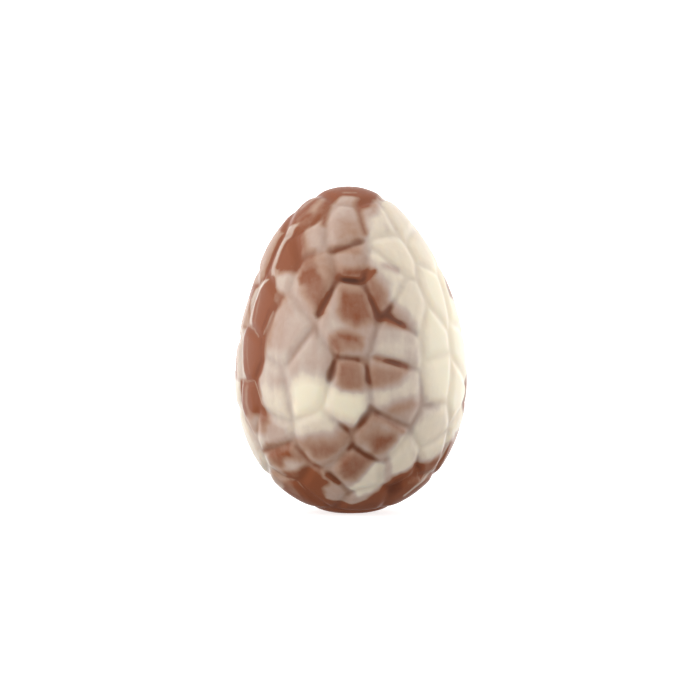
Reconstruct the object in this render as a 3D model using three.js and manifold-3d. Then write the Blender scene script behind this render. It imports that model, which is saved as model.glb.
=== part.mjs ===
// Moulded chocolate egg with a crackled shell: low cushions parted by narrow rounded grooves.
// Millimetres, +Z up, sharper end on top, standing on a small flat foot at z = 0, front towards -Y.
import * as THREE from "three";
import { ConvexHull } from "three/addons/math/ConvexHull.js";
import Module from "manifold-3d";

const wasm = await Module();
wasm.setup();

// Egg body
const eggLength = 150.8; // end to end, before the foot is cut flat
const bellyRadius = 52.7; // radius at half the length
const taper = 0.17; // share the radius loses at the tip and gains at the foot end
const footCut = 0.8; // height lost to the flat spot the egg stands on
const bulge = 2.4; // how much fuller the tip end is on the left, seen from the front
const bulgeStarts = 98; // height where the bulge starts
const bulgeEnds = 128; // height where it is full
const bulgeMiddle = 0.62; // share of it halfway between left and right

// Crackle relief, measured out from the egg's smooth surface
const grooveLift = -1.2; // floor of a groove
const shoulderLift = -0.35; // rounded shoulder above the groove
const rimLift = 0; // rim of a cushion's top
const middleLift = 0.3; // middle of a cushion's top
const shoulderIn = 1.2; // groove floor to shoulder, along the surface
const rimIn = 3.2; // groove floor to the rim of the top
const grooveStep = 5; // longest straight piece of a groove
const shortestSide = 1.2; // junctions closer than this are one

// Cushions of one mould half: azimuth in degrees from the front towards +X, height above the foot,
// and the per cent a cushion grows beyond its even share.
const cushions = [
  [2, 147, 0],
  [-42, 135, 0],
  [-7, 129.5, 0],
  [28, 133, 0],
  [53, 132, 0],
  [-31, 125, 0],
  [-75, 118, 0],
  [-46, 114, 0],
  [-23, 107.5, 0],
  [0, 115, -1],
  [31, 117, 0],
  [60, 121, 0],
  [-82, 98, 0],
  [-55, 93, 0],
  [-35.5, 82, 0],
  [-1, 89.5, 1],
  [21, 104, 0],
  [29.5, 92, 0],
  [53, 101, 0],
  [74, 96, 0],
  [-60, 72, 0],
  [-21.5, 61.5, 0.5],
  [-1, 56, 0],
  [24, 75.5, 0],
  [45, 81, 0],
  [72, 75, 0],
  [-80, 62, 0],
  [-62, 50, 0],
  [-42.5, 55, 0],
  [22, 56, 1],
  [46, 60, 0],
  [66, 56, 0],
  [-78, 35, 0],
  [-47, 38, 0],
  [-15, 35, 0],
  [15.5, 35, 0],
  [48, 41, 0],
  [76, 36, 0],
  [-43, 24, 0],
  [4, 20, 0],
  [32, 23, 0],
  [54, 27, 0],
  [-54, 10, 0],
  [-23, 12, 0],
  [18, 6, 0],
  [52, 10, 0],
];

// Height above the foot as a share of half the length, from -1 to 1.
function shareUp(height) {
  return THREE.MathUtils.clamp((2 * (height + footCut)) / eggLength - 1, -1, 1);
}

// Radius of the even egg, which has no bulge yet.
function girthAt(height) {
  const up = shareUp(height);
  return bellyRadius * (1 - taper * up) * Math.sqrt(1 - up * up);
}

// How far to the left a place of the even egg ends up.
function bulgeAt(x, height) {
  const rise = THREE.MathUtils.smoothstep(height, bulgeStarts, bulgeEnds);
  const toLeft = -THREE.MathUtils.clamp(x / Math.max(girthAt(height), 1), -1, 1);
  return bulge * rise * (bulgeMiddle + (1 - bulgeMiddle) * toLeft);
}

// Unit direction, seen from the middle of the even egg, of the place that ends up at an azimuth once
// the bulge has turned it.
function directionOf(azimuthDegrees, height) {
  const up = shareUp(height);
  const across = Math.sqrt(1 - up * up);
  const girth = girthAt(height);
  const wanted = THREE.MathUtils.degToRad(azimuthDegrees);
  const turned = bulgeAt(girth * Math.sin(wanted), height) * Math.cos(wanted);
  const azimuth = wanted + turned / girth;
  return new THREE.Vector3(across * Math.sin(azimuth), -across * Math.cos(azimuth), up);
}

// Point of the egg in a direction, raised from the smooth surface along its normal, then bulged.
function eggPoint(direction, lift) {
  const { x, y, z } = direction.clone().normalize();
  const fullness = 1 - taper * z;
  const radius = bellyRadius * fullness;
  const slope = (2 / eggLength) * (z + (taper * (x * x + y * y)) / fullness);
  const normal = new THREE.Vector3(x / radius, y / radius, slope).normalize();
  const surface = new THREE.Vector3(radius * x, radius * y, (eggLength / 2) * (1 + z) - footCut);
  const toLeft = bulgeAt(surface.x, surface.z);
  surface.addScaledVector(normal, lift);
  surface.x -= toLeft;
  return surface;
}

// Both halves come from the same mould, so the back is the front turned round. One more cushion, the
// foot, closes the bottom.
const seeds = [new THREE.Vector3(0, 0, -1)];
for (const turn of [0, 180])
  for (const [azimuth, height, growth] of cushions)
    seeds.push(directionOf(azimuth + turn, height).divideScalar(1 - growth / 100));

// Each face of the seeds' hull stands for the junction of three grooves.
const hull = new ConvexHull().setFromPoints(seeds);
const junctions = [];
const corners = new Map(seeds.map((seed) => [seed, new Set()]));
for (const face of hull.faces) {
  const direction = face.normal.clone().divideScalar(face.constant);
  const place = eggPoint(direction, 0);
  let number = junctions.findIndex((junction) => junction.place.distanceTo(place) < shortestSide);
  if (number < 0) number = junctions.push({ direction, place }) - 1;
  let edge = face.edge;
  do {
    corners.get(edge.head().point).add(number);
    edge = edge.next;
  } while (edge !== face.edge);
}

// Middle of some directions, as a unit direction.
function middleOf(directions) {
  const sum = new THREE.Vector3();
  for (const direction of directions) sum.add(direction.clone().normalize());
  return sum.normalize();
}

// Numbers of a cushion's junctions, anticlockwise as seen from outside.
function cornersInOrder(seed) {
  const numbers = [...corners.get(seed)];
  const outward = middleOf(numbers.map((number) => junctions[number].direction));
  const east = new THREE.Vector3().crossVectors(outward, new THREE.Vector3(0.1, 0.2, 1)).normalize();
  const north = new THREE.Vector3().crossVectors(outward, east);
  const angle = (number) => {
    const offset = junctions[number].direction.clone().normalize().sub(outward);
    return Math.atan2(offset.dot(north), offset.dot(east));
  };
  return numbers.sort((a, b) => angle(a) - angle(b));
}

const points = [];
const triangles = [];
const addPoint = (direction, lift) => points.push(eggPoint(direction, lift)) - 1;
for (const junction of junctions) junction.point = addPoint(junction.direction, grooveLift);

// Directions and point numbers along the groove between two junctions, the second one left out.
const grooves = new Map();
function grooveFrom(first, second) {
  const key = `${Math.min(first, second)} ${Math.max(first, second)}`;
  if (!grooves.has(key)) {
    const { direction: from, place } = junctions[first];
    const { direction: to, place: end } = junctions[second];
    const pieces = Math.ceil(place.distanceTo(end) / grooveStep);
    const inner = [];
    for (let i = 1; i < pieces; i++) {
      const direction = from.clone().lerp(to, i / pieces);
      inner.push({ direction, point: addPoint(direction, grooveLift) });
    }
    grooves.set(key, { first, inner });
  }
  const groove = grooves.get(key);
  const inner = groove.first === first ? groove.inner : [...groove.inner].reverse();
  return [junctions[first], ...inner];
}

// Distance along the surface, near enough, from a direction to the closest part of an outline.
function distanceToOutline(direction, outline) {
  const place = eggPoint(direction, 0);
  const nearest = new THREE.Vector3();
  let least = Infinity;
  outline.forEach((start, i) => {
    const piece = new THREE.Line3(start, outline[(i + 1) % outline.length]);
    piece.closestPointToPoint(place, true, nearest);
    least = Math.min(least, place.distanceTo(nearest));
  });
  return least;
}

// Direction found by going from the groove towards the middle until the outline is a set width away.
function goneIn(from, middle, outline, width) {
  let near = 0;
  let far = 1;
  for (let i = 0; i < 16; i++) {
    const half = (near + far) / 2;
    if (distanceToOutline(from.clone().lerp(middle, half), outline) < width) near = half;
    else far = half;
  }
  return from.clone().lerp(middle, far);
}

function ringBetween(outer, inner) {
  outer.forEach((point, i) => {
    const next = (i + 1) % outer.length;
    triangles.push([point, outer[next], inner[next]], [point, inner[next], inner[i]]);
  });
}

function addCushion(seed) {
  const order = cornersInOrder(seed);
  const groove = order.flatMap((number, i) => grooveFrom(number, order[(i + 1) % order.length]));
  const around = groove.map(({ direction }) => direction.clone().normalize());
  const middle = middleOf(around);
  const outline = around.map((direction) => eggPoint(direction, 0));
  const room = distanceToOutline(middle, outline);
  const ring = (width, lift) => {
    const reach = Math.min(width, (room * width) / (rimIn + shoulderIn));
    return around.map((from) => addPoint(goneIn(from, middle, outline, reach), lift));
  };
  const shoulder = ring(shoulderIn, shoulderLift);
  const rim = ring(rimIn, rimLift);
  ringBetween(groove.map(({ point }) => point), shoulder);
  ringBetween(shoulder, rim);
  const top = addPoint(middle, middleLift);
  rim.forEach((point, i) => triangles.push([point, rim[(i + 1) % rim.length], top]));
}

for (const seed of seeds) addCushion(seed);

// The foot is cut flat at z = 0.
const crackled = new wasm.Manifold(
  new wasm.Mesh({
    numProp: 3,
    vertProperties: new Float32Array(points.flatMap((point) => point.toArray())),
    triVerts: new Uint32Array(triangles.flat()),
  }),
);
const standing = crackled.trimByPlane([0, 0, 1], 0).getMesh();

const geometry = new THREE.BufferGeometry();
geometry.setAttribute("position", new THREE.BufferAttribute(standing.vertProperties, 3));
geometry.setIndex(new THREE.BufferAttribute(standing.triVerts, 1));
geometry.computeVertexNormals();

const milkAndWhite = new THREE.MeshStandardMaterial({ color: 0xc9ab97, roughness: 0.35, metalness: 0 });
const egg = new THREE.Mesh(geometry, milkAndWhite);
egg.name = "chocolate_egg";

const root = new THREE.Group();
root.name = "egg";
root.add(egg);

export default root;
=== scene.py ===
import bpy
import math
import random
import numpy as np
from mathutils import Matrix, Vector, noise


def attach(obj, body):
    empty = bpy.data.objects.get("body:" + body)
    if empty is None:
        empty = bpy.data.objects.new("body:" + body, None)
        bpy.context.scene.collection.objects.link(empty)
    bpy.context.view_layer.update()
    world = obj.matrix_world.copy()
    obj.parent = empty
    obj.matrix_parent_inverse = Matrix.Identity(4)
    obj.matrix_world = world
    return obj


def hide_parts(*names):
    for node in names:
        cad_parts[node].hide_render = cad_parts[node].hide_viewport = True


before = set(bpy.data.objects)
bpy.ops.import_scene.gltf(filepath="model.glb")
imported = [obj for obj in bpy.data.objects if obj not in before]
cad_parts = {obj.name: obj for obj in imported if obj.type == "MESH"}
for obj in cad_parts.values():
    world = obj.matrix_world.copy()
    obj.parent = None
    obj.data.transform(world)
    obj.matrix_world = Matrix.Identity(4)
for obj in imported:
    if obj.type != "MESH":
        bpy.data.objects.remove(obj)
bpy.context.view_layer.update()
mm = 0.001

# The mould: a smooth egg, and the crackle cut into it.
mould = {
    "length": 150.8 * mm,
    "bellyRadius": 52.7 * mm,
    "taper": 0.17,
    "footCut": 0.8 * mm,  # what the flat spot takes off the bottom
    "shortestSide": 0.008,  # on a ball of radius 1: closer corners become one
    "cuts": 15,  # points between a cushion's middle and its edge
    "grooveDepth": 0.95 * mm,
    "grooveHalfWidth": 3.8 * mm,
    "creaseRadius": 0.9 * mm,  # the floor of a groove isn't quite sharp
    "cornerRound": 0.55 * mm,
    "crown": 0.08 * mm,  # how much a cushion swells in its middle
    "crownReach": 6.5 * mm,
    "waveHeight": 0.35 * mm,
    "waveSize": 16 * mm,
    "bulge": 2.4 * mm,  # the tip end is this much fuller on the left than an even egg
    "bulgeStarts": 98 * mm,
    "bulgeEnds": 128 * mm,
    "bulgeMiddle": 0.62,  # share of it between left and right
}

# Cushions of one half of the mould: azimuth from the front in degrees, height above the foot in mm,
# and the per cent by which a cushion takes more than its even share.
cushions = [
    (2, 147, 0), (-42, 135, 0), (-7, 129.5, 0), (28, 133, 0), (53, 132, 0), (-31, 125, 0),
    (-75, 118, 0), (-46, 114, 0), (-23, 107.5, 0), (0, 115, -1), (31, 118, 0), (60, 121, 0),
    (-82, 98, 0), (-55, 93, 0), (-35.5, 82, 0), (-1, 89.5, 0.3), (22, 105.5, 0.3), (31.5, 93, 0.5),
    (56, 101, 0), (74, 96, 0), (-60, 72, 0), (-21.5, 61.5, 0.5), (-3, 53.5, 0), (26, 76.5, 0.5),
    (45, 80, 0), (72, 75, 0), (-80, 62, 0), (-62, 50, 0), (-42.5, 55, 0), (23, 58, 0.8),
    (47, 61, 0.3), (66, 56, 0), (-78, 35, 0), (-47, 38, 0), (-15, 35, 0), (15.5, 35, 0),
    (48, 41, 0), (76, 36, 0), (-43, 24, 0), (4, 20, 0), (32, 23, 0), (54, 27, 0),
    (-54, 10, 0), (-23, 12, 0), (18, 6, 0), (52, 10, 0),
]


def eased(share):
    share = np.clip(share, 0, 1)
    return share * share * (3 - 2 * share)


def girthAt(height):
    # radius of the even egg at a height in metres
    up = np.clip(2 * (height + mould["footCut"]) / mould["length"] - 1, -1, 1)
    return mould["bellyRadius"] * (1 - mould["taper"] * up) * np.sqrt(1 - up ** 2)


def bulgeAt(x, z):
    # how far to the left a place of the even egg ends up
    rise = eased((z - mould["bulgeStarts"]) / (mould["bulgeEnds"] - mould["bulgeStarts"]))
    toLeft = -np.clip(x / np.maximum(girthAt(z), mm), -1, 1)
    return mould["bulge"] * rise * (mould["bulgeMiddle"] + (1 - mould["bulgeMiddle"]) * toLeft)


def directionOf(azimuth, height):
    # turned back by what the bulge turns it, so the cushion ends up where it's asked
    up = 2 * (height * mm + mould["footCut"]) / mould["length"] - 1
    across = math.sqrt(1 - up * up)
    turn = math.radians(azimuth)
    girth = girthAt(height * mm)
    turn += bulgeAt(girth * math.sin(turn), height * mm) * math.cos(turn) / girth
    return Vector((across * math.sin(turn), -across * math.cos(turn), up))


def eggPoint(direction):
    fullness = mould["bellyRadius"] * (1 - mould["taper"] * direction.z)
    return Vector((
        direction.x * fullness,
        direction.y * fullness,
        mould["length"] / 2 * (1 + direction.z) - mould["footCut"],
    ))


def moulded():
    seeds = [(Vector((0, 0, -1)), 1.0)]  # the foot closes the bottom of both halves
    for turn in (0, 180):
        for azimuth, height, growth in cushions:
            seeds.append((directionOf(azimuth + turn, height), 1 - growth / 100))
    return seeds


seeds = moulded()


def applied(piece, kind, **settings):
    modifier = piece.modifiers.new(kind.lower(), kind)
    for name, value in settings.items():
        setattr(modifier, name, value)
    bpy.ops.object.modifier_apply(modifier=modifier.name)


def carveBall():
    # a block is cut flat once for each cushion, so its corners are where the grooves meet
    bpy.ops.object.select_all(action="DESELECT")
    bpy.ops.mesh.primitive_cube_add(size=4)
    ball = bpy.context.object
    ball.name = "crackled_egg"
    bpy.ops.object.mode_set(mode="EDIT")
    for direction, level in seeds:
        bpy.ops.mesh.select_all(action="SELECT")
        bpy.ops.mesh.bisect(
            plane_co=direction * level, plane_no=direction,
            use_fill=True, clear_outer=True, threshold=1e-5)
    bpy.ops.mesh.select_all(action="SELECT")
    bpy.ops.mesh.remove_doubles(threshold=mould["shortestSide"])
    bpy.ops.mesh.select_all(action="SELECT")
    bpy.ops.mesh.poke()
    bpy.ops.mesh.select_all(action="SELECT")
    bpy.ops.mesh.subdivide(number_cuts=mould["cuts"])
    bpy.ops.object.mode_set(mode="OBJECT")
    return ball


def stretchToEgg(ball):
    # round, then long, then fuller at the foot end than at the tip
    applied(ball, "CAST", cast_type="SPHERE", factor=1, use_radius_as_size=False, size=1)
    bpy.ops.object.mode_set(mode="EDIT")
    bpy.ops.mesh.select_all(action="SELECT")
    bpy.ops.transform.resize(
        value=(mould["bellyRadius"], mould["bellyRadius"], mould["length"] / 2),
        center_override=(0, 0, 0))
    bpy.ops.object.mode_set(mode="OBJECT")
    applied(ball, "SIMPLE_DEFORM", deform_method="TAPER", deform_axis="Z", factor=-2 * mould["taper"])
    bpy.ops.object.mode_set(mode="EDIT")
    bpy.ops.mesh.select_all(action="SELECT")
    bpy.ops.transform.translate(value=(0, 0, mould["length"] / 2 - mould["footCut"]))
    bpy.ops.object.mode_set(mode="OBJECT")


def pointsOf(piece):
    places = np.empty(len(piece.data.vertices) * 3)
    piece.data.vertices.foreach_get("co", places)
    return places.reshape(-1, 3)


def grooveDistance(places):
    # distance in metres from each point to the nearest groove, with the cushions' corners rounded
    halfLength = mould["length"] / 2
    up = np.clip((places[:, 2] + mould["footCut"]) / halfLength - 1, -1, 1)
    fullness = mould["bellyRadius"] * (1 - mould["taper"] * up)
    directions = np.stack([places[:, 0] / fullness, places[:, 1] / fullness, up], 1)
    scale = np.stack([1 / fullness, 1 / fullness, np.full_like(up, 1 / halfLength)], 1)
    normals = directions * scale
    normals /= np.linalg.norm(normals, axis=1, keepdims=True)
    planes = np.array([direction / level for direction, level in seeds])
    reach = directions @ planes.T
    own = reach.argmax(1)
    rows = np.arange(len(own))
    closeness = np.zeros(len(own))
    for other in range(len(planes)):
        slope = (planes[own] - planes[other]) * scale
        slope -= normals * (slope * normals).sum(1, keepdims=True)
        steepness = np.linalg.norm(slope, axis=1)
        gap = (reach[rows, own] - reach[:, other]) / np.maximum(steepness, 1e-9)
        closeness += np.where(own == other, 0, np.exp(-gap / mould["cornerRound"]))
    return np.maximum(-mould["cornerRound"] * np.log(closeness), 0)


def pressRelief(egg, smooth, distance):
    # weights say where the mould's ridges press in, where the cushions swell and where it bulges
    crease = mould["creaseRadius"]
    eased = np.sqrt(distance ** 2 + crease ** 2) - crease
    grooveShape = 1 - np.sin(np.pi / 2 * np.minimum(eased / mould["grooveHalfWidth"], 1))
    crownShape = 1 - np.exp(-(distance / mould["crownReach"]) ** 2)
    bulgeShape = bulgeAt(smooth[:, 0], smooth[:, 2]) / mould["bulge"]
    for name, shape, height, direction in (
            ("groove", grooveShape, -mould["grooveDepth"], "NORMAL"),
            ("crown", crownShape, mould["crown"], "NORMAL"),
            ("bulge", bulgeShape, -mould["bulge"], "X")):
        weights = egg.vertex_groups.new(name=name)
        for number, weight in enumerate(shape):
            weights.add([number], float(weight), "REPLACE")
        applied(egg, "DISPLACE", strength=height, mid_level=0, vertex_group=name,
                direction=direction)
    waves = bpy.data.textures.new("waves", "CLOUDS")
    waves.noise_scale = mould["waveSize"]
    waves.noise_depth = 1
    applied(egg, "DISPLACE", texture=waves, texture_coords="LOCAL",
            strength=mould["waveHeight"], mid_level=1)


def cutFoot(egg):
    bpy.ops.object.mode_set(mode="EDIT")
    bpy.ops.mesh.select_all(action="SELECT")
    bpy.ops.mesh.bisect(
        plane_co=(0, 0, 0), plane_no=(0, 0, 1), use_fill=True, clear_inner=True, threshold=1e-7)
    bpy.ops.mesh.select_all(action="SELECT")
    bpy.ops.mesh.normals_make_consistent(inside=False)
    bpy.ops.object.mode_set(mode="OBJECT")


# How thick the white chocolate lies under the surface: 0 is bare milk chocolate, 1 is cream, and well below 0
# the colour turns darker than bare milk chocolate, as painted shade.
marbling = {
    "viewDistance": 895,
    "eyeHeight": 75,
    "bare": -0.2,
    # every groove is thinned a little and darkened as painted shade
    "wipedAndShadedAlways": 0.12,
    "pourBlur": 1.9,
    "strokeBlur": 1.35,
    "strokeWander": 0.3,
    "sideBlur": 2.5,  # how much softer the edges of pours get towards the outline
    "sideStarts": 0.28,
    "drift": 1.3 * mm,
    "driftSize": 14 * mm,
    "ragged": 0.6 * mm,
    "raggedSize": 4 * mm,
    "wipeUneven": 0.6,
    "wipeSize": 7 * mm,
    "frontEnds": 0.03,
    "backStarts": 0.25,
    "changeUneven": 0.25,
    "changeSize": 16 * mm,
}

# Nothing of the back shows, so its marbling is drawn by chance, in patches of the front's kind.
backMarbling = {
    "middle": 0.62,
    "contrast": 2.3,
    "thinnest": -0.15,
    "thickest": 1.25,
    "patchSize": Vector((30, 30, 38)) * mm,
    "chance": Vector((3.1, 7.4, 1.9)),
    "stir": 14 * mm,
    "stirSize": 30 * mm,
    "wipedAndShaded": 1.6,
    "footTop": 7 * mm,
    "footBottom": 3 * mm,
}

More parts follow.
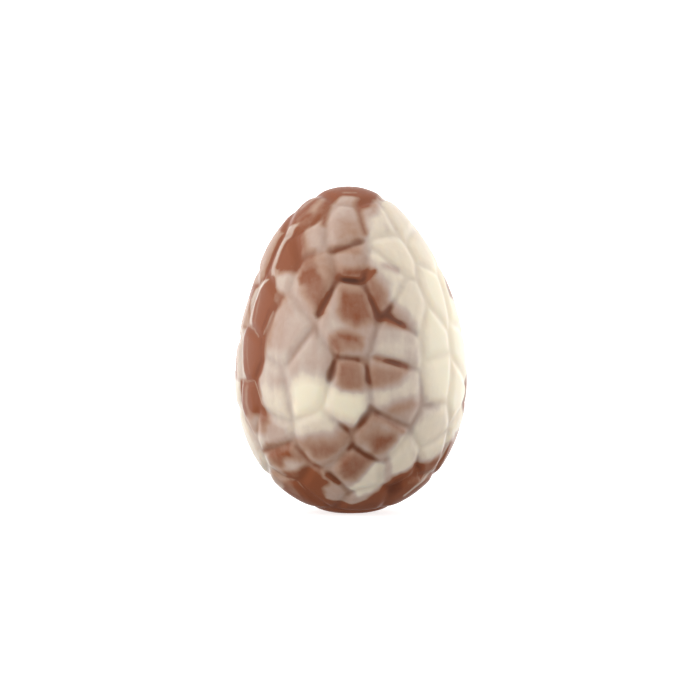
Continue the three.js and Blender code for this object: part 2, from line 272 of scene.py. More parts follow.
# Each pour is its thickness, the softness of its edge in mm, and its corners. A corner is a place as
# it shows from the front, in mm: across and height. One past the outline lies that far round the side.
frontPours = [
    # the main pour
    (0.64, 0.9, [
        (-35, 103), (-31, 98), (-35, 92), (-38.5, 84), (-40.5, 76), (-41, 66), (-43.5, 61),
        (-42, 54), (-40, 47), (-37, 41), (-39, 36), (-38.5, 31), (-29, 31), (-26, 29.5), (-20, 24), (-13, 19),
        (-9, 12), (-12, 6), (0, 3.5), (7, 5.8), (17, 13), (24, 17.5), (30, 21.5), (36, 23),
        (41, 26.5), (46, 32), (62, 36), (68, 55), (70, 80), (64, 100), (54, 120), (42, 135),
        (26, 150), (10, 144), (3, 145.3), (-4, 146), (-8, 143.5), (-10.5, 139), (-16, 134), (-21.5, 131),
        (-22, 121), (-24, 113), (-27, 114), (-30, 112), (-34.5, 112)]),
    # thick cream on the right
    (1.05, 2, [
        (9, 142), (8, 128), (9, 118), (13, 113), (17, 106), (17, 99), (24, 94), (29, 86), (31, 74),
        (29, 64), (33, 57), (36, 50), (32, 44), (27, 37), (28, 30), (30, 24), (36, 24), (42, 28),
        (46, 33), (64, 38), (70, 60), (70, 85), (62, 105), (50, 125), (38, 140), (24, 150),
        (12, 143)]),
    (1.4, 4, [
        (33, 112), (35, 95), (34, 84), (36, 70), (38, 60), (41, 52), (47, 46), (64, 50), (70, 70),
        (68, 90), (58, 110), (46, 122), (38, 120)]),
    (1.15, 3, [(11, 127), (28, 127), (36, 120), (34, 112), (28, 106), (20, 118), (12, 119)]),
    # cream in the lower middle
    (1.1, 4, [(-27.5, 58), (-27, 50), (-12, 50), (-11, 59), (-16, 62), (-22, 63)]),
    (1.5, 3, [(-28.5, 57), (-29, 45), (-24, 40.5), (-12, 42.5), (-10, 50), (-12, 57), (-20, 60)]),
    (1.4, 2, [(-9, 55), (-10, 47), (-6, 43), (3, 41), (7, 46), (7, 53.5), (0, 55)]),
    (1.0, 2, [(-30, 43), (-29, 37), (-22, 35), (-8, 36), (-5, 41), (-12, 43)]),
    # thinner cream
    (0.82, 1.6, [(-40, 74), (-41, 56), (-37, 43), (-29, 39), (-27, 50), (-28, 74), (-34, 76)]),
    (0.56, 2, [(-33, 97), (-30, 94), (-26, 85), (-30, 76), (-38, 77), (-37, 86)]),
    (0.71, 2, [(-30, 92), (-22, 95), (-18, 88), (-12, 84), (-12, 72), (-24, 68), (-28, 74), (-30, 80)]),
    (0.95, 2, [(-42, 57), (-38, 44), (-29, 40), (-27.5, 52), (-33, 60)]),
    (0.74, 1.6, [(-34.5, 108), (-29, 111), (-26, 107), (-27, 102), (-33, 101)]),
    (0.9, 2, [(13, 85), (29, 82), (31, 74), (27, 66), (14, 70), (8, 72)]),
    (0.97, 2, [(9, 57), (9, 50), (12, 47), (22, 52), (31, 52), (33, 58), (28, 63), (18, 58)]),
    (1.08, 1.2, [(19.5, 17), (24, 18), (29, 22), (28, 30), (27, 36), (22, 34), (17, 28), (18, 24)]),
    (1.15, 1.1, [(-2, 10.5), (3, 7.3), (9, 8.8), (16, 13.5), (16.5, 21.5), (12, 22), (5, 16)]),
    (0.54, 1.3, [
        (-13.5, 11), (-12.3, 7.5), (-9, 5.3), (-2, 4.4), (3.5, 6), (0, 8.5), (-5, 11.5), (-9, 13)]),
    (0.84, 2, [(31, 41), (36, 45), (42, 48), (42, 50), (35, 50), (29, 42)]),
    # veils
    (0.33, 1.5, [(-9, 121), (-2, 122.5), (4, 122.5), (6, 117.5), (-2, 117.5), (-14, 119)]),
    (0.52, 1, [(-16, 118.5), (6.5, 117.5), (8, 113.5), (-4, 113), (-12, 115)]),
    (0.42, 1.5, [(-17, 119), (-10, 117), (-6, 112), (-7, 106), (-11, 103), (-14, 106)]),
    (0.42, 0.8, [(-6, 106), (6, 106), (7, 102), (-6, 101.5)]),
    (0.6, 1.2, [(-9, 88), (9, 87), (8, 83), (-9, 83)]),
    (0.66, 1.5, [(-11, 96), (-8.5, 96), (-6.5, 88), (-3, 86), (-7, 82.5), (-12, 84)]),
    (0.85, 1.5, [(-9, 88.5), (-6, 88), (-4.5, 85.5), (-7, 83.5), (-10, 84)]),
    (0.35, 1, [(10, 99), (16, 99), (19, 96), (15, 89), (12, 89)]),
    (0.78, 1.5, [(12, 85), (29, 82), (28, 78), (11, 79)]),
    (0.55, 2, [(17, 86), (28, 84.5), (30, 87), (24, 93), (20, 95)]),
    (0.2, 2, [(16, 86.5), (23, 85.5), (21, 89), (19, 92), (17.5, 91)]),
    (0.42, 0.9, [(-5, 77), (6, 77), (5, 72.5), (-5, 73)]),
    (0.42, 1, [(3, 38), (9, 44), (16, 41), (12, 37), (4, 28)]),
    (0.32, 1.8, [(-7, 37), (1, 36.5), (2, 32.5), (-4, 33)]),
    (0.5, 1, [(-16, 19.5), (-7, 22), (-5, 16), (-8, 13), (-13.5, 15)]),
    (0.75, 2, [(24, 74), (29, 73), (29, 68), (24, 68)]),
    (0.62, 2, [(-37, 62), (-29, 61), (-30, 57.5), (-37, 58)]),
    (0.36, 2, [(-5, 134), (2, 134), (5, 128), (-2, 126), (-8, 124)]),
    # milk chocolate just round the side on the right
    (0.1, 0.6, [
        (50.7, 39), (51.8, 48), (52.8, 59), (56, 64), (63, 70), (74, 72), (72, 60), (66, 48),
        (62, 40), (54, 36)]),
    (0.22, 0.6, [
        (42.4, 109), (44.2, 103.5), (45.8, 98.5), (51, 94), (60, 95), (68, 100), (66, 112),
        (56, 117), (48, 115)]),
    # clouded milk chocolate
    (0.2, 1.2, [(-22, 121), (-17, 121), (-15, 113), (-19, 110), (-23, 112)]),
    (0.05, 0.9, [
        (-23, 112), (-16, 113), (-13, 106), (-12.5, 100), (-16.5, 101.5), (-18.5, 104.5),
        (-24, 104.5), (-25, 108)]),
    (0.12, 2, [(-21, 107), (-13, 107), (-10.5, 100), (-13, 91.5), (-17, 92), (-20, 97), (-23, 102)]),
    (0.28, 2, [(-13, 113), (-6, 113.5), (-4, 108.5), (-9, 104), (-12.5, 106)]),
    (0.15, 0.9, [(-35.5, 101), (-31.5, 101), (-30, 97), (-33.5, 94.5), (-35.5, 97)]),
    (0.22, 1.8, [(-37, 90), (-35.5, 86), (-37.5, 77), (-41, 75), (-41.3, 81)]),
    (0.07, 1.6, [(-6, 102.5), (7.5, 102), (9, 94), (11, 87.5), (2, 86.2), (-4.5, 89.5), (-6.5, 94)]),
    (0.02, 1.4, [(-8, 108), (-4, 112.5), (8, 113), (11.5, 110.5), (10, 107.5), (0, 108)]),
    (0.12, 1.8, [(8, 108), (12, 107), (17, 100), (14.5, 93), (11.5, 90), (9, 96)]),
    (0.06, 1.6, [(-7, 83), (0, 83), (4.5, 80.5), (4, 77), (-3, 76.5), (-7, 79.5)]),
    (0.12, 1, [(-10, 81), (-5.5, 80), (-4.5, 74), (-7, 71.5), (-9, 75)]),
    (0.2, 1.5, [(-7, 69), (4, 69.5), (7, 60), (5, 55.8), (-5, 56), (-7.5, 59)]),
    (0.25, 1.6, [(6.5, 68.5), (16, 67), (25, 64.5), (22, 60), (14, 57), (8, 57.5)]),
    (0.3, 2, [(16, 46.5), (21, 50.5), (29, 52), (30.5, 49), (24, 45.5), (18, 44.5)]),
    (0.26, 2.2, [
        (-25, 32.5), (-20, 33.5), (-6, 34), (1, 33), (-3, 29), (-10, 24.5), (-17, 25), (-21.5, 28)]),
    (0.15, 1.5, [(-18, 30), (-8, 31.5), (-5, 28.5), (-12, 25.5), (-17, 26)]),
    (0.08, 1.8, [(8, 33), (12, 37), (20, 36), (21, 33), (16, 28), (10, 26)]),
    (0.12, 1.7, [(-6, 24), (-2, 27.5), (3, 27), (10.5, 23), (6.5, 19.5), (2, 15.5), (-4, 15), (-6, 19)]),
    (0.16, 2, [(-24, 131), (-20.5, 131), (-20.5, 121), (-22, 113), (-26, 113), (-24.5, 121)]),
    # the tip
    (-0.1, 1.5, [(-14, 151), (-11, 146.5), (-6, 146), (1, 146), (9, 147), (15, 144), (12, 151)]),
    (0.42, 2, [(8, 146), (13, 143), (12, 138), (8, 137)]),
    (-0.2, 1.6, [(3, 147.5), (9, 147.5), (9.5, 144), (8.5, 141), (4, 139.5), (2.5, 143)]),
    (0.08, 1, [
        (-25, 131.5), (-21, 131.5), (-17, 133.5), (-12, 138), (-10.5, 147), (-16, 146),
        (-22, 141.5), (-27, 136)]),
    # the left side, where its cushions show at a slant; the pale bands along their shoulders are partly white
    # chocolate and partly painted highlight from the light on the left
    (0.32, 0.6, [
        (-47, 104), (-43, 106), (-40.3, 109), (-38.6, 114), (-36.3, 119.5), (-33.6, 125),
        (-31.6, 128), (-34, 132), (-50, 122), (-60, 112)]),
    (0.64, 0.5, [
        (-37.2, 109), (-36, 115), (-34, 121), (-31.8, 126.5), (-30, 130.5), (-24.3, 132.3),
        (-27, 128.5), (-29.6, 125), (-32.3, 119.5), (-34.4, 113), (-35, 108)]),
    (0.0, 1.2, [(-34, 114), (-24, 115), (-25, 111), (-31, 110), (-33.3, 109)]),
    (0.45, 0.8, [(-46.5, 104), (-46.3, 98), (-47.5, 92), (-48.5, 85), (-68, 82), (-66, 107)]),
    (0.76, 0.5, [
        (-38.2, 107.8), (-41.5, 107), (-44, 103.5), (-46, 98), (-47.5, 91), (-48.3, 85.5),
        (-46.8, 85), (-45.8, 91), (-44.3, 97), (-41.8, 102.5), (-39.3, 105.8)]),
    (0.8, 0.5, [(-49.5, 84), (-50, 72), (-49.2, 61), (-72, 57), (-72, 88)]),
    (0.15, 0.8, [(-51.5, 82), (-52.5, 74), (-52.7, 65), (-52, 56), (-57, 54), (-60, 70), (-56, 84)]),
    (0.95, 0.5, [
        (-51.5, 60), (-51.2, 50), (-49.2, 42), (-44.5, 33), (-41, 26), (-36.3, 19.8), (-32.4, 15),
        (-29.5, 11), (-36, 8), (-50, 8), (-70, 35), (-72, 63)]),
    (0.6, 1.4, [(-49, 43.5), (-44, 44.5), (-37, 42), (-35, 38), (-37, 34), (-46, 34.5)]),
    (0.36, 1, [(-45, 38), (-43, 41.5), (-38, 41), (-38, 37), (-41, 35), (-45, 35.5)]),
    (0.08, 1.2, [(-42.5, 44), (-38.5, 43.5), (-37.8, 41), (-40, 39.5), (-42.5, 41)]),
    (0.85, 1, [(-47.5, 38), (-45, 36), (-38, 35), (-37, 32.8), (-39.5, 31.5), (-41, 27), (-43, 27)]),
    (0.36, 2.0, [(-39, 31.5), (-28, 31.5), (-22, 25), (-20, 20), (-24, 16), (-35, 16), (-41, 25)]),
    (-0.05, 1.8, [(-38, 28), (-29, 28.5), (-24.5, 26.5), (-26, 23.8), (-31, 24), (-36, 24), (-38.5, 26)]),
    (0.1, 1, [(-37, 27), (-33.5, 26), (-31.5, 21.8), (-33, 20.5), (-36, 23)]),
    (0.3, 1.4, [(-29, 31.5), (-26, 29.5), (-15, 20.5), (-15, 16), (-21, 20), (-27, 25.5)]),
    (0.72, 1.3, [(-30.5, 23), (-27.5, 23.6), (-23.5, 22), (-24.5, 20), (-28, 18.8), (-31, 19.5)]),
    (0.05, 1, [(-33.5, 17.6), (-28, 18), (-22, 20), (-22, 15.5), (-30, 15.8)]),
    (0.12, 1.2, [(-33, 14), (-27, 13.3), (-22, 8), (-20, 4.5), (-28, 8.5)]),
    (0.92, 1, [(-43, 27), (-39.5, 25.5), (-37, 21), (-33, 19), (-32, 17.8), (-36, 17), (-42, 20)]),
    (0.42, 1.2, [(-37, 19.5), (-33, 18.5), (-30.5, 16.5), (-29.5, 13), (-31, 10), (-36, 14)]),
    # round the foot; the pours well below 0 are painted shade, darker than bare milk chocolate where the egg
    # turns down to the floor
    (-0.15, 1.8, [(-24, 17), (-21, 19), (-17, 17.5), (-16, 13), (-22, 13)]),
    (-0.5, 1.8, [(-24, 11), (-20, 12), (-14, 5), (-20, 5)]),
    (0.08, 1.5, [(24, 17), (30, 21.5), (37, 23.5), (42, 27), (44, 24), (36, 15), (28, 11), (24, 12)]),
    (-0.8, 2, [(16, 9), (19, 14.5), (24, 16), (24, 10), (18, 6)]),
    (-0.6, 1.2, [(30, 22), (33, 21), (33, 16), (30, 17)]),
    (-0.5, 1.2, [(-14, 3), (0, 3.5), (14, 4.5), (20, 0), (-16, 0)]),
    (0.28, 0.7, [
        (26, 6), (32, 11), (38, 16.5), (42, 21), (46, 29), (48, 36), (54, 41), (66, 38), (70, 24),
        (54, 8), (38, 6)]),
]

# Strokes laid over the pours: thickness, softness, half width, and the places they run through.
frontStrokes = [
    # painted highlight along the shoulders of the outer cushions on the left, partly white chocolate too; the
    # strokes well below 0 are painted shade in the creases beside them
    (0.4, 0.6, 0.1, [(-36, 113), (-34, 120), (-31.3, 127)]),
    (0.2, 2.0, 1.2, [(-42, 100), (-43.5, 94), (-44.5, 87)]),
    (-0.8, 0.7, 0.3, [(-33.8, 112.5), (-31.8, 119), (-29, 125), (-24.8, 130)]),
    (-0.7, 0.7, 0.3, [(-39.5, 109.5), (-37.5, 116), (-34.5, 122.5), (-32.3, 127)]),
    (-0.6, 1.2, 1.2, [(-41.5, 82), (-39, 90), (-38, 93)]),
    (0.45, 0.8, 0.5, [(-36.5, 92), (-39, 86), (-41.3, 81)]),
    (0.5, 1.5, 1.3, [(-31, 97), (-28, 92)]),
    (0.16, 2.0, 1.4, [(-47.8, 80), (-48, 72), (-47, 64)]),
    (0.45, 0.8, 0.5, [(-48, 85.5), (-45.5, 84), (-43, 80.5)]),
    (-0.55, 1.2, 1.0, [(-42, 80), (-41.8, 70), (-44.5, 63)]),
    (0.4, 0.8, 0.5, [(-45.5, 60.3), (-51, 60)]),
    (0.85, 0.8, 0.8, [(-50.3, 58), (-50.5, 50), (-49, 42), (-45.5, 33)]),
    (0.65, 0.4, 0.35, [(-45, 60), (-43.3, 54), (-41, 48.5)]),
    (0.3, 2.2, 1.6, [(-48.2, 57), (-48.2, 50), (-46.5, 44)]),
    (0.22, 0.8, 0.8, [(-43, 59), (-41.7, 53)]),
    # pale lines along the ridges at the lower left: painted highlight
    (0.5, 0.8, 0.5, [(-34, 15.2), (-30, 14.3), (-26.5, 14)]),
    (0.42, 0.8, 0.4, [(-25, 13.3), (-20.5, 8.7), (-15, 4.2)]),
    (-0.1, 0.8, 0.9, [(-11.5, 16.5), (-6, 12.5)]),
    # the tip
    (-0.1, 0.8, 1.2, [(-27, 134), (-22.3, 139), (-16.4, 144), (-11.3, 147), (-6, 148.4), (1, 149)]),
    (0.12, 1.6, 1.0, [(3.7, 140), (4.7, 134), (6.5, 129)]),
    (0.42, 2, 1.2, [(-18, 138), (-13.5, 144)]),
    (0.34, 1.6, 0.8, [(-23, 140), (-16, 145)]),
    (0.0, 1.6, 1.0, [(-24, 134), (-19, 137)]),
    (0.06, 1.6, 1.2, [(-12.8, 133), (-11.5, 139), (-10, 145)]),
    (0.35, 1.2, 0.6, [(-3, 147.2), (2, 147)]),
    # deep in the grooves of the middle; the strokes well below 0 are painted shade, darker than bare milk
    # chocolate
    (-1.0, 1.2, 0.3, [(-3, 107.3), (5, 107)]),
    (-0.5, 1.2, 0.6, [(5, 107), (8, 108.2), (11, 110.7)]),
    (0.02, 1.6, 1.0, [(12, 70.8), (19, 68.9), (26, 66.6)]),
    (0.3, 1.8, 0.6, [(-2, 38.5), (2, 37), (6, 41)]),
    (-0.15, 1.4, 1.0, [(14.5, 89.3), (19, 88), (25, 85.6)]),
    (-0.2, 1.2, 0.5, [(-10.8, 100), (-12.8, 94), (-13.5, 91.5)]),
    (0.12, 1.6, 0.9, [(11.5, 43.8), (17, 41), (24, 37)]),
    (0.3, 1.6, 0.8, [(-8, 122), (-2, 124.6), (3, 126)]),
    # the right
    (0.5, 2, 1.2, [(16, 113.5), (21, 111.5)]),
    (0.88, 1.8, 0.8, [(15, 136), (17, 130)]),
    (0.45, 1, 1.5, [(-13, 22), (0, 30)]),
    # this and the next two pale lines, along the lower right rim, are painted highlight
    (1.3, 1.5, 1.2, [(45, 33), (47.5, 38), (49.3, 44)]),
    (0.8, 0.6, 0.9, [(24.5, 7.3), (29.5, 11.3), (34.8, 15.5), (39.3, 20), (42.4, 25), (45, 31)]),
    (0.45, 0.5, 0.4, [(31, 13), (37.5, 19.5), (42, 25.5), (43.5, 30)]),
    (0.4, 0.8, 0.4, [(30, 20.5), (31, 17), (32, 13.5)]),
    (0.7, 1.4, 0.5, [(17.7, 15), (17.7, 21.5)]),
]

# Grooves that the white layer hardly reached, given as the strokes are; each is also darkened as painted
# shade. The first value is how much of the layer is missing on the floor of the groove, and how strongly that
# floor is darkened.
wipedAndShadedGrooves = [
    (0.75, 1.5, 2.5, [(-9, 121), (0, 124.5), (3, 126)]),
    (0.7, 1.5, 2.5, [(-10, 102), (-5, 107)]),
    (1.7, 1.5, 2.5, [(-3, 108), (5, 107)]),
    (0.8, 1.5, 2.5, [(6, 107.5), (11, 111)]),
    (1.0, 1.2, 2.5, [(-10, 101), (-14.5, 91)]),
    (0.6, 1.5, 2.5, [(7.5, 104), (9, 97)]),
    (1.15, 1.5, 2.5, [(9, 96), (13, 87)]),
    (1.15, 1.5, 2.5, [(15, 88), (20, 95)]),
    (0.25, 1.5, 2.5, [(21, 97), (28, 105)]),
    (1.3, 1.5, 2.5, [(15, 88), (23, 86)]),
    (0.4, 1.5, 2.5, [(25, 84.5), (30, 83)]),
    (0.35, 2, 2.2, [(-17, 84), (-28, 68)]),
    (0.35, 2, 2.5, [(12, 86), (6, 73)]),
    (0.5, 1.5, 2.5, [(-8, 79), (-7, 73)]),
    (0.75, 1.5, 2.5, [(-6, 72), (6, 70.5)]),
    (1.15, 1.5, 2.5, [(-8.4, 67.5), (-9.8, 62.5)]),
    (1.1, 1.5, 2.5, [(5, 70), (8, 57)]),
    (0.15, 1.5, 2.5, [(8, 57), (9, 50)]),
    (0.4, 1.5, 2.5, [(6, 70.5), (9, 70)]),
    (1.1, 1.5, 2.5, [(17.5, 68), (23, 66)]),
    (0.4, 1.5, 2.5, [(24, 66), (30, 64)]),
    (0.2, 2, 2.5, [(30, 64), (37, 50)]),
    (0.35, 2, 2.5, [(37, 50), (28, 38)]),
    (0.9, 1.5, 2.5, [(-3.5, 40.5), (2, 37.5)]),
    (0.85, 1.5, 2.5, [(2, 37.5), (9, 45.5)]),
    (0.85, 1.5, 2.5, [(9, 46), (15, 43.3)]),
    (0.5, 1.5, 2.5, [(16, 43), (25, 38)]),
    (0.3, 1.5, 2.5, [(2, 37), (2, 30)]),
    (0.95, 1.5, 2.5, [(1, 29.5), (12, 24.5)]),
    (0.35, 1.5, 2.2, [(-28, 31), (-15, 20.5)]),
    (1.05, 1.5, 2.5, [(-11.5, 16.3), (-6, 12)]),
    (0.5, 1.5, 2.5, [(-6, 12), (3, 6)]),
    (0.6, 1.5, 2.5, [(28, 29), (30.5, 22)]),
    (0.12, 2, 2.5, [(-40, 45), (-30, 40)]),
    (0.25, 1.5, 2.5, [(-22.5, 128), (-24, 114)]),
    (0.3, 1.5, 2.5, [(18, 22), (18, 16)]),
]


levels = (1 - np.cos(np.linspace(0, np.pi, 400))) / 2 * mould["length"] - mould["footCut"]
climbs = np.append(0, np.cumsum(np.hypot(np.diff(levels), np.diff(girthAt(levels)))))


def laidFlat(places):
    # the skin of the egg rolled out, in mm: round from the middle of the front, and up
    turn = np.arctan2(places[:, 0], -places[:, 1])
    return np.stack([turn * girthAt(places[:, 2]), np.interp(places[:, 2], levels, climbs)], 1) / mm


def flatFromFront(across, height):
    # where a place as it shows from the front lies on the flat skin
    depth, x = 0.0, across * mm
    for step in range(6):
        nearer = marbling["viewDistance"] / (marbling["viewDistance"] + depth / mm)
        z = (marbling["eyeHeight"] + (height - marbling["eyeHeight"]) / nearer) * mm
        x = across * mm / nearer + float(bulgeAt(x, z))
        girth = max(float(girthAt(z)), mm)
        share = min(max(x / girth, -1), 1)
        depth = -girth * math.sqrt(1 - share ** 2)
    past = x - share * girth
    return (math.asin(share) * girth + past) / mm, float(np.interp(z, levels, climbs)) / mm


def distanceToLine(points, line, closed):
    # from each point to the line, and less than nothing inside a closed one
    nearest = np.full(len(points), np.inf)
    inside = np.zeros(len(points), bool)
    for start, end in zip(line if closed else line[:-1], line[1:] + line[:1]):
        start, along = np.array(start), np.subtract(end, start)
        offset = points - start
        share = np.clip(offset @ along / (along @ along), 0, 1)
        gap = offset - share[:, None] * along
        nearest = np.minimum(nearest, np.hypot(gap[:, 0], gap[:, 1]))
        spans = (offset[:, 1] < 0) != (offset[:, 1] < along[1])
        inside ^= spans & (offset[:, 0] < offset[:, 1] * along[0] / (along[1] or 1))
    return np.where(inside, -nearest, nearest) if closed else nearest


def layOn(layer, away, value, softness):
    # away is the distance in mm outside the edge of what is laid on
    layer += (value - layer) * eased((softness - away) / (2 * softness))


def wander(places):
    # shifts the places about a little, so that nothing has a drawn edge
    return np.array([
        noise.noise_vector(Vector(place) / marbling["driftSize"]) * marbling["drift"]
        + noise.noise_vector(Vector(place) / marbling["raggedSize"]) * marbling["ragged"]
        for place in places])


def turnedAway(places):
    # -1 in the middle of the front, 0 at the sides, 1 in the middle of the back
    middle = (0, 0, mould["length"] / 2 - mould["footCut"])
    radii = np.array([mould["bellyRadius"], mould["bellyRadius"], mould["length"] / 2])
    outward = (places - middle) / radii ** 2
    return outward[:, 1] / np.linalg.norm(outward, axis=1)


def shareOfBack(places):
    # 0 on all that shows from the front, 1 on the back
    uneven = np.array([abs(noise.noise(Vector(place) / marbling["changeSize"])) for place in places])
    starts = marbling["frontEnds"] + marbling["changeUneven"] * uneven
    return eased((turnedAway(places) - starts) / (marbling["backStarts"] - marbling["frontEnds"]))


def backLayer(places):
    layer = np.empty(len(places))
    for number, place in enumerate(places):
        stirred = Vector(place) + noise.noise_vector(
            Vector(place) / backMarbling["stirSize"]) * backMarbling["stir"]
        spot = Vector(a / b for a, b in zip(stirred, backMarbling["patchSize"]))
        layer[number] = noise.fractal(spot + backMarbling["chance"], 1.0, 2.0, 3)
    layer = backMarbling["middle"] + backMarbling["contrast"] * layer
    layer = np.clip(layer, backMarbling["thinnest"], backMarbling["thickest"])
    foot = eased((backMarbling["footTop"] - places[:, 2])
                 / (backMarbling["footTop"] - backMarbling["footBottom"]))
    return layer + (marbling["bare"] - layer) * foot


def whiteLayer(places, shift):
    layer = np.full(len(places), marbling["bare"])
    skin = laidFlat(places + shift)
    side = eased(1 + turnedAway(places) / marbling["sideStarts"])
    blur = marbling["pourBlur"] * (1 + marbling["sideBlur"] * side)
    for value, softness, corners in frontPours:
        line = [flatFromFront(*corner) for corner in corners]
        layOn(layer, distanceToLine(skin, line, True), value, softness * blur)
    skin = laidFlat(places + shift * marbling["strokeWander"])
    for value, softness, halfWidth, run in frontStrokes:
        line = [flatFromFront(*place) for place in run]
        away = distanceToLine(skin, line, False) - halfWidth
        layOn(layer, away, value, softness * marbling["strokeBlur"])
    return layer + (backLayer(places + shift) - layer) * shareOfBack(places)


def grooveWipeAndShade(places):
    # how far each groove's white layer is thinned, which also sets its painted shade
    layer = np.full(len(places), marbling["wipedAndShadedAlways"])
    skin = laidFlat(places)
    for value, softness, halfWidth, run in wipedAndShadedGrooves:
        line = [flatFromFront(*place) for place in run]
        layOn(layer, distanceToLine(skin, line, False) - halfWidth, value, softness)
    onBack = np.array([
        max(noise.noise(Vector(place) / marbling["changeSize"]), 0) for place in places])
    return layer + backMarbling["wipedAndShaded"] * onBack * shareOfBack(places)


def paintOn(piece, name, values):
    attribute = piece.data.attributes.new(name, "FLOAT", "POINT")
    attribute.data.foreach_set("value", values.astype(np.float32))


def makeEgg():
    egg = carveBall()
    print("ball carved:", len(egg.data.polygons), "faces")
    stretchToEgg(egg)
    smooth = pointsOf(egg)
    distance = grooveDistance(smooth)
    shift = wander(smooth)
    uneven = np.array([noise.noise(Vector(place) / marbling["wipeSize"]) for place in smooth])
    paintOn(egg, "fromGroove", distance / mm * (1 + marbling["wipeUneven"] * uneven))
    paintOn(egg, "whiteLayer", whiteLayer(smooth, shift))
    paintOn(egg, "wipedAndShaded", grooveWipeAndShade(smooth + shift))
    pressRelief(egg, smooth, distance)
    egg.vertex_groups.clear()
    cutFoot(egg)
    bpy.ops.object.shade_smooth_by_angle(angle=math.radians(60))
    print("egg moulded:", len(egg.data.polygons), "faces")
    return egg


# Finish of the chocolate. Colours are (red, green, blue) in linear light.
finish = {
    "tones": (  # from bare milk chocolate to full cream, by thickness of the white layer
        # the first tone, far darker than bare milk chocolate, is painted shade for creases, grooves and the
        # foot
        (-1.0, (0.12, 0.025, 0.006)),
        (-0.4, (0.265, 0.072, 0.024)),
        (0.0, (0.27, 0.078, 0.028)),
        (0.2, (0.366, 0.185, 0.118)),
        (0.35, (0.44, 0.262, 0.18)),
        (0.6, (0.53, 0.38, 0.308)),
        (0.8, (0.62, 0.505, 0.425)),
        (1.0, (0.78, 0.68, 0.55)),
        (1.35, (0.93, 0.83, 0.66)),
    ),
    "thinnest": -1.0,
    "thickest": 1.5,
    "grooveReach": 2.6,  # mm
    "thinnedBy": 0.5,
    # the next two darken the grooves towards a near-black brown, as painted shade
    "grooveShadedBy": 0.55,
    "grooveShadeColour": (0.08, 0.02, 0.006),
    "mottle": 0.07,
    "wisps": 0.07,
    "wispSize": (5 * mm, 5 * mm, 18 * mm),
    "mottleSize": 2.4 * mm,
    "roughness": (0.3, 0.4),
    "lightSinksIn": (0.08, 0.9),  # milk chocolate, cream
}


def addNode(tree, kind, inputs=None, **settings):
    # inputs maps a socket's name or number to a value, or to another node's output to link
    node = tree.nodes.new(kind)
    for name, value in settings.items():
        setattr(node, name, value)
    for key, value in (inputs or {}).items():
        if isinstance(value, bpy.types.NodeSocket):
            tree.links.new(value, node.inputs[key])
        else:
            node.inputs[key].default_value = value
    return node


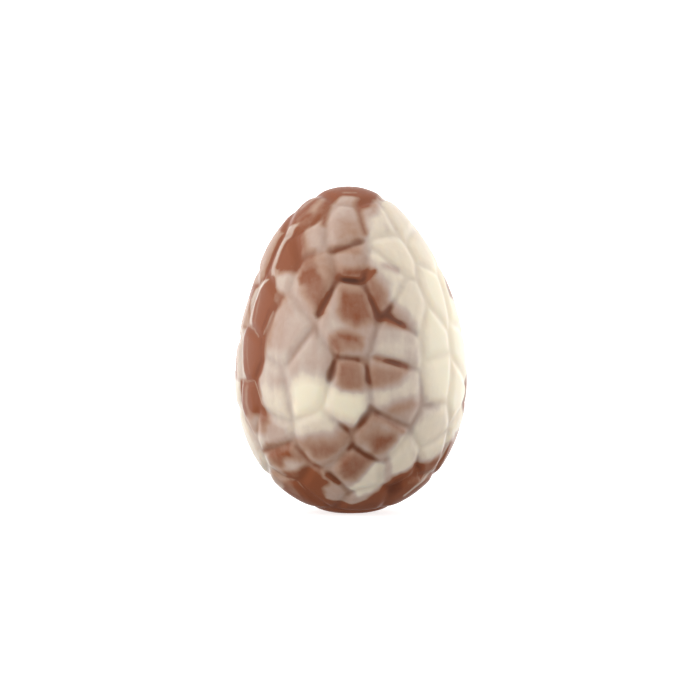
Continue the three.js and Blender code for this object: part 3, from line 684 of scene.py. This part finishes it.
def makeChocolate():
    material = bpy.data.materials.new("marbledChocolate")
    material.use_nodes = True
    tree = material.node_tree
    shader = tree.nodes["Principled BSDF"]
    coordinates = addNode(tree, "ShaderNodeTexCoord").outputs["Object"]
    layer = addNode(tree, "ShaderNodeAttribute", attribute_name="whiteLayer").outputs["Fac"]
    groove = addNode(tree, "ShaderNodeAttribute", attribute_name="fromGroove").outputs["Fac"]

    # wisps and mottling in the white layer
    mottle = addNode(tree, "ShaderNodeTexNoise", {
        "Vector": coordinates, "Scale": 1 / finish["mottleSize"], "Detail": 3.0, "Roughness": 0.55})
    swing = addNode(tree, "ShaderNodeMath", {
        0: mottle.outputs[0], 1: 0.5}, operation="SUBTRACT")
    mottled = addNode(tree, "ShaderNodeMath", {
        0: swing.outputs[0], 1: finish["mottle"] * 2, 2: layer}, operation="MULTIPLY_ADD")
    drawnOut = addNode(tree, "ShaderNodeMapping", {
        "Vector": coordinates, "Rotation": (0, math.radians(25), 0),
        "Scale": [1 / size for size in finish["wispSize"]]})
    wisps = addNode(tree, "ShaderNodeTexNoise", {
        "Vector": drawnOut.outputs[0], "Scale": 1.0, "Detail": 4.0, "Distortion": 0.6})
    drift = addNode(tree, "ShaderNodeMath", {0: wisps.outputs[0], 1: 0.5}, operation="SUBTRACT")
    wisp = addNode(tree, "ShaderNodeMath", {
        0: drift.outputs[0], 1: finish["wisps"] * 4, 2: mottled.outputs[0]},
        operation="MULTIPLY_ADD")

    # the ridges of the mould wiped the white layer thin; the same mask also mixes the grooves towards a
    # near-black brown, as painted shade
    nearness = addNode(tree, "ShaderNodeMapRange", {
        "Value": groove, "From Min": finish["grooveReach"], "From Max": 0.0},
        interpolation_type="SMOOTHSTEP")
    wipedAndShaded = addNode(tree, "ShaderNodeAttribute", attribute_name="wipedAndShaded").outputs["Fac"]
    thinnedAndShaded = addNode(tree, "ShaderNodeMath", {
        0: nearness.outputs[0], 1: wipedAndShaded}, operation="MULTIPLY")
    thinned = addNode(tree, "ShaderNodeMath", {
        0: thinnedAndShaded.outputs[0], 1: -finish["thinnedBy"], 2: wisp.outputs[0]}, operation="MULTIPLY_ADD")
    spread = addNode(tree, "ShaderNodeMapRange", {
        "Value": thinned.outputs[0],
        "From Min": finish["thinnest"], "From Max": finish["thickest"]})
    ramp = addNode(tree, "ShaderNodeValToRGB", {0: spread.outputs[0]})
    elements = ramp.color_ramp.elements
    for thickness, colour in finish["tones"][2:]:
        elements.new(0.99)
    reach = finish["thickest"] - finish["thinnest"]
    for element, (thickness, colour) in zip(elements, finish["tones"]):
        element.position = (thickness - finish["thinnest"]) / reach
        element.color = (*colour, 1)

    # painted shade: near the grooves the colour is mixed towards a near-black brown
    grooveShade = addNode(tree, "ShaderNodeMath", {
        0: thinnedAndShaded.outputs[0], 1: finish["grooveShadedBy"]}, operation="MULTIPLY", use_clamp=True)
    colour = addNode(tree, "ShaderNodeMix", {
        0: grooveShade.outputs[0], 6: ramp.outputs[0], 7: (*finish["grooveShadeColour"], 1)}, data_type="RGBA")
    tree.links.new(colour.outputs[2], shader.inputs["Base Color"])

    gloss = addNode(tree, "ShaderNodeMapRange", {
        "Value": mottle.outputs[0], "From Min": 0.3, "From Max": 0.7,
        "To Min": finish["roughness"][0], "To Max": finish["roughness"][1]})
    tree.links.new(gloss.outputs[0], shader.inputs["Roughness"])
    grain = addNode(tree, "ShaderNodeTexNoise", {
        "Vector": coordinates, "Scale": 900.0, "Detail": 4.0, "Roughness": 0.6})
    bump = addNode(tree, "ShaderNodeBump", {
        "Strength": 0.06, "Distance": 0.0002, "Height": grain.outputs[0]})
    tree.links.new(bump.outputs[0], shader.inputs["Normal"])
    shader.inputs["IOR"].default_value = 1.48
    glow = addNode(tree, "ShaderNodeMapRange", {
        "Value": layer, "From Min": 0.2, "From Max": 1.3,
        "To Min": finish["lightSinksIn"][0], "To Max": finish["lightSinksIn"][1]})
    tree.links.new(glow.outputs[0], shader.inputs["Subsurface Weight"])
    shader.inputs["Subsurface Radius"].default_value = (1.0, 0.8, 0.6)
    shader.inputs["Subsurface Scale"].default_value = 0.004
    return material


egg = makeEgg()
egg.data.materials.clear()
egg.data.materials.append(makeChocolate())
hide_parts("chocolate_egg")
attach(egg, "root")
print("chocolate laid on")

studio = {
    "cameraDistance": 0.895,
    "cameraHeight": 0.0745,
    "lens": 100,
    "sensor": 36,
    "floorSize": 12,
    "paperGlow": 0.75,
    # brightness of the room round the egg, by degrees from the camera's side to the back
    "aroundEgg": ((0, 0.35), (35, 0.6), (60, 0.9), (115, 0.8), (135, 1.0), (150, 1.7), (180, 1.9)),
    "brightest": 2.0,
    "rightGlow": 0.7,
    "fromAbove": 0.6,
    "fromBelow": 0.12,
    # soft boxes: azimuth from the camera's side, height in degrees, distance, size, watts
    "boxes": {
        "leftBox": (-65, 17, 1.8, 2.2, 28.5),
        "rightBox": (115, 20, 1.8, 2.0, 11),
        "topBox": (180, 75, 1.8, 1.6, 9),
        "floorBox": (0, -90, 1.0, 2.8, 12.5),
    },
}


def makeStage():
    bpy.ops.object.select_all(action="DESELECT")
    bpy.ops.mesh.primitive_plane_add(size=studio["floorSize"])
    floor = bpy.context.object
    floor.name = "studio_floor"
    paper = bpy.data.materials.new("palePaper")
    paper.use_nodes = True
    shader = paper.node_tree.nodes["Principled BSDF"]
    shader.inputs["Base Color"].default_value = (0.6, 0.6, 0.6, 1)
    shader.inputs["Roughness"].default_value = 0.9
    shader.inputs["Emission Color"].default_value = (1, 1, 1, 1)
    shader.inputs["Emission Strength"].default_value = studio["paperGlow"]
    floor.data.materials.append(paper)
    floor.visible_diffuse = False  # the paper is far brighter than what it throws on the egg
    floor.visible_glossy = False
    floor.visible_shadow = False  # the light box under the paper shines through it


def makeLight():
    # a pale room: brightest behind the egg, dimmer towards the camera, dim below
    world = bpy.data.worlds.new("paleRoom")
    bpy.context.scene.world = world
    world.use_nodes = True
    tree = world.node_tree
    facing = addNode(tree, "ShaderNodeSeparateXYZ", {
        0: addNode(tree, "ShaderNodeTexCoord").outputs["Generated"]})
    depth = addNode(tree, "ShaderNodeMapRange", {
        "Value": facing.outputs["Y"], "From Min": -1.0, "From Max": 1.0})
    around = addNode(tree, "ShaderNodeFloatCurve", {1: depth.outputs[0]})
    curve = around.mapping.curves[0]
    steps = studio["aroundEgg"]
    while len(curve.points) < len(steps):
        curve.points.new(0.5, 0.5)
    for point, (turn, level) in zip(curve.points, steps):
        point.location = ((1 - math.cos(math.radians(turn))) / 2, level / studio["brightest"])
    around.mapping.update()
    toRight = addNode(tree, "ShaderNodeMapRange", {
        "Value": facing.outputs["X"], "From Min": 0.3, "From Max": 1.0,
        "To Min": 0.0, "To Max": studio["rightGlow"]}, interpolation_type="SMOOTHSTEP")
    level = addNode(tree, "ShaderNodeMath", {
        0: around.outputs[0], 1: studio["brightest"], 2: toRight.outputs[0]},
        operation="MULTIPLY_ADD")
    above = addNode(tree, "ShaderNodeMapRange", {
        "Value": facing.outputs["Z"], "From Min": 0.2, "From Max": 0.7},
        interpolation_type="SMOOTHSTEP")
    lidded = addNode(tree, "ShaderNodeMix", {
        0: above.outputs[0], 2: level.outputs[0], 3: studio["fromAbove"]})
    below = addNode(tree, "ShaderNodeMapRange", {
        "Value": facing.outputs["Z"], "From Min": -0.12, "From Max": -0.45},
        interpolation_type="SMOOTHSTEP")
    strength = addNode(tree, "ShaderNodeMix", {
        0: below.outputs[0], 2: lidded.outputs[0], 3: studio["fromBelow"]})
    backdrop = tree.nodes["Background"]
    tree.links.new(strength.outputs[0], backdrop.inputs["Strength"])
    backdrop.inputs["Color"].default_value = (1, 1, 1, 1)
    for name, (azimuth, elevation, distance, size, watts) in studio["boxes"].items():
        bpy.ops.object.light_add(type="AREA")
        box = bpy.context.object
        box.name = name
        box.data.size = size
        box.data.energy = watts
        turn = Matrix.Rotation(math.radians(azimuth), 4, "Z")
        tilt = Matrix.Rotation(math.radians(90 - elevation), 4, "X")
        middle = Matrix.Translation((0, 0, mould["length"] / 2))
        box.matrix_world = middle @ turn @ tilt @ Matrix.Translation((0, 0, distance))
        box.visible_camera = False
        box.visible_glossy = False  # a polished spot on the chocolate would show its square


def makeCamera():
    lens = bpy.data.cameras.new("camera")
    lens.lens = studio["lens"]
    lens.sensor_width = studio["sensor"]
    camera = bpy.data.objects.new("camera", lens)
    bpy.context.collection.objects.link(camera)
    camera.location = (-0.0005, -studio["cameraDistance"], studio["cameraHeight"])
    camera.rotation_euler = (math.radians(90), 0, 0)
    bpy.context.scene.camera = camera


makeStage()
makeLight()
makeCamera()
bpy.context.scene.view_settings.view_transform = "Standard"
print("studio set")
